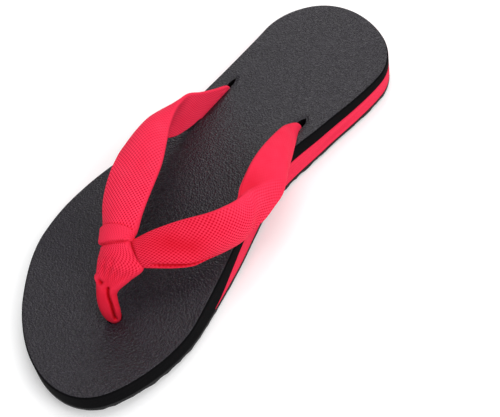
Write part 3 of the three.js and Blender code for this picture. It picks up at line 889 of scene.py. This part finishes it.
def band(table, side, place):
    """Sections of a band at places along it: points, outward directions, and cloth coordinates."""
    front = rows_at(table["front"], place)
    rear = rows_at(table["rear"], place)
    ahead = rows_at(table["front"], place, True) + rows_at(table["rear"], place, True)
    thick = rows_at(table["thick"], place)
    across = unit(rear - front)
    out = unit(np.cross(across, ahead)) * side
    reach = np.linalg.norm(rear - front, axis=1)
    slack = np.maximum(rows_at(table["width"], place) - reach, 0)
    span = np.maximum(reach - thick, TIGHT_SPAN)
    # A shallow arc of height h over a span s is longer than s by 8 h h / 3 s, and its radius is s s / 8 h,
    # which is kept no smaller than the cloth is thick
    bulge = np.minimum(np.sqrt(3 * span * slack / 8), span ** 2 / (8 * thick))

    face = np.linspace(0, 1, FACE_STEPS + 1)
    bend = np.linspace(0, np.pi, EDGE_STEPS + 2)[1:-1]
    v = np.concatenate([face, np.ones(EDGE_STEPS), face[::-1], np.zeros(EDGE_STEPS)])
    lift = np.concatenate([np.ones(len(face)), np.cos(bend), -np.ones(len(face)), -np.cos(bend)])
    past = np.concatenate([np.zeros(len(face)), np.sin(bend), np.zeros(len(face)), -np.sin(bend)])

    def grid(values):
        return values[:, None, None]

    start = front + across * thick[:, None] / 2
    middle = start[:, None] + across[:, None] * grid(span) * v[:, None]
    swell = 1 + np.minimum(lift, 0)
    arc = out[:, None] * grid(bulge)
    middle = middle + arc * (4 * v * (1 - v) * swell)[:, None]
    run = unit(across[:, None] * grid(span) + arc * (4 * (1 - 2 * v) * swell)[:, None])
    up = unit(out[:, None] - run * (out[:, None] * run).sum(-1, keepdims=True))
    outwards = up * lift[:, None] + run * past[:, None]
    points = middle + outwards * grid(thick) / 2
    centre = start + across * span[:, None] / 2 + out * bulge[:, None]
    length = np.concatenate([[0], np.cumsum(np.linalg.norm(np.diff(centre, axis=0), axis=1))])
    ahead_of_centre = ((points - centre[:, None]) * unit(ahead)[:, None]).sum(-1)
    flat = np.concatenate([face, np.ones(EDGE_STEPS), 2 - face[::-1], np.full(EDGE_STEPS + 1, 2)])
    turned = np.concatenate([0 * face, bend, np.pi + 0 * face, np.pi + bend, [2 * np.pi]])
    around = flat * CLOTH_WIDTH + turned * thick[:, None] / 2
    half_face = span[:, None] / 2
    half_edge = thick[:, None] / 2
    aside = np.concatenate([
        (face - 0.5) * span[:, None],
        half_face + bend * half_edge,
        np.repeat(half_face + np.pi * half_edge, len(face), axis=1),
        -half_face - (np.pi - bend) * half_edge,
    ], axis=1)
    return {"points": points, "outwards": outwards, "lift": lift, "place": place, "length": length,
            "ahead_of_centre": ahead_of_centre, "across": around, "aside": aside, "span": span,
            "reach": half_face + half_edge * np.pi / 2}


def loft(name, shape, side, material):
    """A closed mesh through the sections, which carries the cloth's own coordinates."""
    steps, size = shape["points"].shape[:2]
    index = np.arange(steps * size).reshape(steps, size)
    a = index[:-1]
    b = np.roll(index, -1, axis=1)[:-1]
    c = np.roll(index, -1, axis=1)[1:]
    d = index[1:]
    quads = np.stack([a, b, c, d], axis=-1).reshape(-1, 4)
    if side == OUTER:
        quads = quads[:, ::-1]
    ends = [index[0][::-side], index[-1][::side]]
    piece = object_from(name, shape["points"].reshape(-1, 3), [*quads, *ends], material)
    cloth = np.empty((steps, size + 1, 3))
    cloth[..., 1] = shape["across"]
    for axis, values in ((0, shape["thread"]), (2, shape["weave"])):
        cloth[:, :-1, axis] = values
        cloth[:, -1, axis] = values[:, 0]
    corners = np.stack([cloth[:-1, :-1], cloth[:-1, 1:], cloth[1:, 1:], cloth[1:, :-1]], axis=2)
    if side == OUTER:
        corners = corners[:, :, ::-1]
    caps = np.concatenate([cloth[0, :-1][::-side], cloth[-1, :-1][::side]])
    layer = piece.data.attributes.new("cloth_mm", "FLOAT_VECTOR", "CORNER")
    layer.data.foreach_set("vector", np.concatenate([corners.reshape(-1, 3), caps]).reshape(-1))
    # How much painted shade each point gets
    layer = piece.data.attributes.new("painted_shade_share", "FLOAT", "POINT")
    layer.data.foreach_set("value", shape["deep"].reshape(-1))
    return piece


print(f"each section has {2 * (FACE_STEPS + 1 + EDGE_STEPS)} points")

# %% [markdown]
# Canvas that is folded and tied never lies smooth. The main creases are given one by one. Each entry of
# the next tables is one crease: over how many millimetres it fades to its left and to its right, and
# its path over the outside of a band. Each point of the path is a row along the band, a share across
# it, and how high the cloth rises there, or how deep it sinks, if negative. A ridge that fades fast on
# one side and slowly on the other reads as a fold that lies over its neighbour.

# %% Folds on the straps, in millimetres
INNER_FOLDS = [
    (5.0, 0.6, [(9.2, 1.12, 0.2), (8.4, 0.92, 1.0), (7.75, 0.77, 1.5), (7.1, 0.62, 1.2),
                (6.5, 0.5, 0.6), (5.8, 0.37, 0.0)]),
    (0.6, 6.0, [(9.1, 1.12, -0.7), (8.3, 0.97, -1.0), (7.6, 0.83, -1.0), (6.95, 0.68, -0.7),
                (6.3, 0.55, -0.3), (5.6, 0.42, 0.0)]),
    (0.6, 0.6, [(14.1, 0.05, -0.4), (13.65, 0.02, -1.3), (12.8, 0.01, -1.6), (12.3, 0.0, -1.6),
                (11.7, 0.01, -1.6), (11.2, 0.03, -1.2), (10.6, 0.06, 0.0)]),
    (4.0, 4.0, [(11.2, 0.34, 0.0), (12.0, 0.42, -0.8), (13.2, 0.58, -0.8), (14.2, 0.6, -0.3)]),
    (10.0, 1.0, [(15.4, 1.1, -1.5), (15.15, 0.77, -1.5), (14.95, 0.45, -1.5), (14.85, 0.14, -1.5),
                 (14.95, -0.1, -1.5)]),
]
OUTER_FOLDS = [
    (0.5, 0.5, [(11.15, -0.2, -0.3), (11.08, 0.03, -0.4), (11.02, 0.5, -0.4), (10.93, 0.76, -0.5),
                (11.08, 0.97, -0.6), (11.35, 1.18, -0.6)]),
    (0.5, 0.5, [(12.2, -0.4, -0.6), (12.1, 0.0, -0.9), (12.06, 0.48, -0.9), (12.0, 0.8, -0.9),
                (11.95, 1.1, -0.9)]),
    (0.7, 0.7, [(12.7, 0.16, 0.0), (13.5, 0.2, -0.45), (14.4, 0.27, -0.2)]),
    (0.8, 0.8, [(12.5, 0.42, 0.0), (13.6, 0.4, -0.6), (14.9, 0.42, -0.3)]),
    (0.7, 0.7, [(12.7, 0.64, 0.0), (13.8, 0.6, -0.5), (14.8, 0.58, -0.3)]),
    (0.7, 0.7, [(13.0, 0.9, 0.0), (13.9, 0.86, -0.45), (14.6, 0.8, -0.2)]),
    (1.2, 1.2, [(14.25, -0.6, 0.8), (14.4, -0.4, 0.8)]),
    (0.9, 0.9, [(14.48, -0.1, -1.8), (14.53, 0.02, -1.8)]),
    (0.42, 0.42, [(14.75, 0.61, -1.6), (15.45, 0.84, -2.0), (16.1, 0.91, -2.0), (16.85, 0.84, -2.0),
                  (18.0, 0.8, -2.0)]),
]


def fold_height(shape, folds):
    """How far each point of a band is pushed outwards by its folds."""
    along_mm = shape["length"][:, None]
    aside_mm = shape["aside"]
    height = np.zeros(aside_mm.shape)
    for fade_left, fade_right, path in folds:
        row, share, rise = np.array(path).T
        path_along = np.interp(row, shape["place"], shape["length"])
        path_aside = (share - 0.5) * np.interp(row, shape["place"], shape["span"])
        nearest = np.full(height.shape, np.inf)
        fade = np.ones(height.shape)
        crest = np.zeros(height.shape)
        for i in range(len(path) - 1):
            run = path_along[i + 1] - path_along[i]
            drift = path_aside[i + 1] - path_aside[i]
            ahead = along_mm - path_along[i]
            beside = aside_mm - path_aside[i]
            t = np.clip((ahead * run + beside * drift) / (run ** 2 + drift ** 2), 0, 1)
            gap = np.hypot(ahead - t * run, beside - t * drift)
            left = run * beside - drift * ahead > 0
            fade = np.where(gap < nearest, np.where(left, fade_left, fade_right), fade)
            crest = np.where(gap < nearest, rise[i] + t * (rise[i + 1] - rise[i]), crest)
            nearest = np.minimum(gap, nearest)
        height += crest * np.exp(-((nearest / fade) ** 2))
    return height * np.clip(1 + shape["lift"], 0, 1)


print("folds:", len(INNER_FOLDS), "on the inner strap,", len(OUTER_FOLDS), "on the outer one and its knot")

# %% [markdown]
# Now the two straps are lofted with their folds. The weave shows where the canvas lies loose, and it is
# drawn weaker where the canvas is pulled smooth: behind the inner strap's crease, near the slots, and
# on the toe post. Down in a fold, in the knot and on the post less light reaches, and what comes bounces
# from red cloth to red cloth, so there a deeper red is painted into the colour as painted shade, and each
# point carries how much of it it gets. Along the folded edges a little painted shade tones down the light
# that the rims catch. Cross threads stay square to the strap where it turns. Only in the knot do they
# follow the sections, as the canvas is gathered there.

# %% Straps
STEPS_PER_ROW = 20
# A fold that sinks this deep gets the full painted shade
FULL_DEPTH = 2.4
RIM_WEAVE = 0.15
RIM_SHARES = (0.5, 0.53)
# Painted shade along the folded edges, which tones down the light the rims catch
RIM_PAINTED_SHADE = 0.12
BACK_WEAVE = 0.35
# Share across the strap, and the row where its weave begins
INNER_WEAVE_FROM = ((0.0, 5.0), (0.3, 5.3), (0.53, 6.5), (0.8, 7.7), (1.0, 8.9))
OUTER_WEAVE_FROM = ((0.0, 5.0), (1.0, 5.0))
# Rows past that place, and how much the weave shows there
INNER_WEAVE = ((-0.1, 0.05), (0.4, 0.35), (3.0, 1.05))
OUTER_WEAVE = ((0.0, 0.12), (2.2, 0.4), (4.2, 0.9), (8.5, 0.8), (10.0, 0.0))
# Row, and how much painted shade, a deeper red, is mixed into the colour there
INNER_PAINTED_SHADE = ((0.0, 0.09), (8.6, 0.09), (10.0, 0.16), (11.0, 0.32), (16.0, 0.34))
OUTER_PAINTED_SHADE = ((9.5, 0.0), (11.0, 0.06), (12.1, 0.06), (12.6, 0.22), (14.6, 0.32), (15.2, 0.52))
# Row, and how square the cross threads are there
INNER_SQUARE = ((0.0, 1.0), (1.0, 1.0))
OUTER_SQUARE = ((10.5, 1.0), (12.0, 0.0))


def places(first, last):
    return np.linspace(first, last, round((last - first) * STEPS_PER_ROW) + 1)


def strap(name, table, side, folds, weave_from, weave, deep, square):
    """Lofts one strap with its folds, and notes its weave and its painted shade, a deeper red."""
    shape = band(table, side, places(0, len(table) - 1))
    row = shape["place"][:, None]
    share = shape["aside"] / shape["span"][:, None] + 0.5
    height = fold_height(shape, folds)
    shape["points"] += shape["outwards"] * height[..., None]
    rim = np.interp(np.abs(share - 0.5), RIM_SHARES, (1.0, RIM_WEAVE))
    loose = np.interp(row - np.interp(share, *zip(*weave_from)), *zip(*weave)) * rim
    shape["weave"] = np.where(shape["lift"] == -1, BACK_WEAVE, loose)
    shape["thread"] = shape["length"][:, None] + shape["ahead_of_centre"] * np.interp(row, *zip(*square))
    # Painted shade: a deeper red set by row on the knot and the post, along the folded edges, and down in
    # each fold
    edge_painted_shade = RIM_PAINTED_SHADE * (1 - np.abs(shape["lift"]))
    shape["deep"] = np.clip(np.interp(row, *zip(*deep)) + edge_painted_shade - height / FULL_DEPTH, 0, 1)
    seat(loft(name, shape, side, CANVAS), "upper")


strap("strap_inner", INNER_STRAP, INNER, INNER_FOLDS, INNER_WEAVE_FROM, INNER_WEAVE, INNER_PAINTED_SHADE,
      INNER_SQUARE)
strap("strap_outer", OUTER_STRAP, OUTER, OUTER_FOLDS, OUTER_WEAVE_FROM, OUTER_WEAVE, OUTER_PAINTED_SHADE,
      OUTER_SQUARE)

# %% [markdown]
# A separate short strip of the same canvas is wound round the knot and holds the two straps together.
# It follows the section of the outer strap, a little larger. Its upper edge is arched and runs down
# towards the lower one on the inner side, where the strip is tucked in beside the inner strap. Its lips
# are rounded, because the strip is folded double.

# %% Knot wrap
# Place round the section, with 0 in the middle of its outside, and there the row of the upper edge, the
# row of the lower edge, and the thickness
WRAP_TOP = ((-1.0, 11.3), (-0.55, 11.2), (0.0, 11.1), (0.3, 11.0), (0.55, 11.15), (0.8, 11.4), (1.0, 11.6))
WRAP_BOTTOM = ((-1.0, 12.12), (-0.55, 12.06), (0.0, 12.0), (0.55, 11.92), (1.0, 11.9))
WRAP_THICK = ((-1.0, 1.4), (0.5, 1.4), (1.0, 0.7))
WRAP_STEPS = 28
WRAP_ROWS = (10, 13)
WRAP_LIP = 0.12
WRAP_LIP_HEIGHT = 0.25
WRAP_WEAVE = 0.3
# An even touch of painted shade over the whole strip
WRAP_PAINTED_SHADE = 0.1


def knot_wrap():
    base = band(OUTER_STRAP, OUTER, places(*WRAP_ROWS))
    middle = len(base["place"]) // 2
    turn = base["aside"][middle] / base["reach"][middle]
    top = np.interp(turn, *zip(*WRAP_TOP))
    bottom = np.interp(turn, *zip(*WRAP_BOTTOM))
    thick = np.interp(turn, *zip(*WRAP_THICK))
    share = (1 - np.cos(np.linspace(0, np.pi, WRAP_STEPS))) / 2
    lip = np.clip(np.minimum(share, 1 - share) / WRAP_LIP, 0, 1)
    puff = WRAP_LIP_HEIGHT + (1 - WRAP_LIP_HEIGHT) * np.sqrt(1 - (1 - lip) ** 2)
    points = np.empty((WRAP_STEPS, len(turn), 3))
    for column in range(len(turn)):
        row = top[column] + (bottom[column] - top[column]) * share
        for axis in range(3):
            place = np.interp(row, base["place"], base["points"][:, column, axis])
            out = np.interp(row, base["place"], base["outwards"][:, column, axis])
            points[:, column, axis] = place + out * thick[column] * puff
    length = share * np.ptp(np.interp((top.min(), bottom.max()), base["place"], base["length"]))
    shape = {"points": points, "across": base["across"][middle]}
    shape["thread"] = np.broadcast_to(length[:, None], points.shape[:2])
    shape["weave"] = np.full(points.shape[:2], WRAP_WEAVE)
    shape["deep"] = np.full(points.shape[:2], WRAP_PAINTED_SHADE)
    seat(loft("knot_band", shape, OUTER, CANVAS), "knot_wrap")


knot_wrap()

# %% [markdown]
# The floor is a plain pale sheet that glows a little, as paper does when it is lit from behind. The
# light is what a product studio uses: one soft box high over the shoe, a stronger one on the camera's
# right for the straps and the wall of the sole, and a dim one behind the heel, whose reflection gives
# the footbed its sheen. A white room fills the rest.

# %% Floor
FLOOR_HALF = 3000.0
FLOOR_CORNERS = ((-1, -1), (1, -1), (1, 1), (-1, 1))
MOTTLE_MM = 333.3


def floor_painted():
    material, tree = new_material("floor_painted")
    place = add(tree, "ShaderNodeTexCoord").outputs["Object"]
    mottle = add(tree, "ShaderNodeTexNoise",
                 {"Vector": place, "Scale": 1 / (MOTTLE_MM * MM), "Detail": 2.0})
    tint = add(tree, "ShaderNodeMix",
               {0: mottle.outputs["Fac"], MIX_A: colour("f6f6f7"), MIX_B: colour("fafafa")},
               data_type="RGBA")
    shader = add(tree, "ShaderNodeBsdfPrincipled",
                 {"Base Color": tint.outputs[MIX_RESULT], "Roughness": 0.9, "Specular IOR Level": 0.1,
                  "Emission Color": colour("ffffff"), "Emission Strength": 0.1})
    add(tree, "ShaderNodeOutputMaterial", {"Surface": shader.outputs["BSDF"]})
    return material


floor_points = [(x * FLOOR_HALF, y * FLOOR_HALF, 0) for x, y in FLOOR_CORNERS]
floor = object_from("floor", floor_points, [(0, 1, 2, 3)], floor_painted())
print(f"floor: {2 * FLOOR_HALF * MM:g} m wide")

# %% Soft boxes and room
ROOM_STRENGTH = 0.58


def soft_box(name, place, size, power):
    """A square area light that faces the middle of the shoe."""
    lamp = bpy.data.lights.new(name, "AREA")
    lamp.shape = "SQUARE"
    lamp.size = size
    lamp.energy = power
    holder = bpy.data.objects.new(name, lamp)
    holder.location = place
    holder.rotation_euler = Vector(place).to_track_quat("Z", "Y").to_euler()
    scene.collection.objects.link(holder)


soft_box("soft_box_top", place=(-0.15, 0.0, 1.25), size=0.7, power=4.3)
soft_box("soft_box_side", place=(0.25, 0.95, 0.85), size=0.8, power=9.6)
soft_box("soft_box_back", place=(-0.8, -0.45, 0.57), size=0.5, power=2.4)
room = bpy.data.worlds.new("white_room")
room.use_nodes = True
walls = room.node_tree.nodes["Background"]
walls.inputs["Color"].default_value = colour("ffffff")
walls.inputs["Strength"].default_value = ROOM_STRENGTH
scene.world = room
scene.view_settings.view_transform = "Standard"
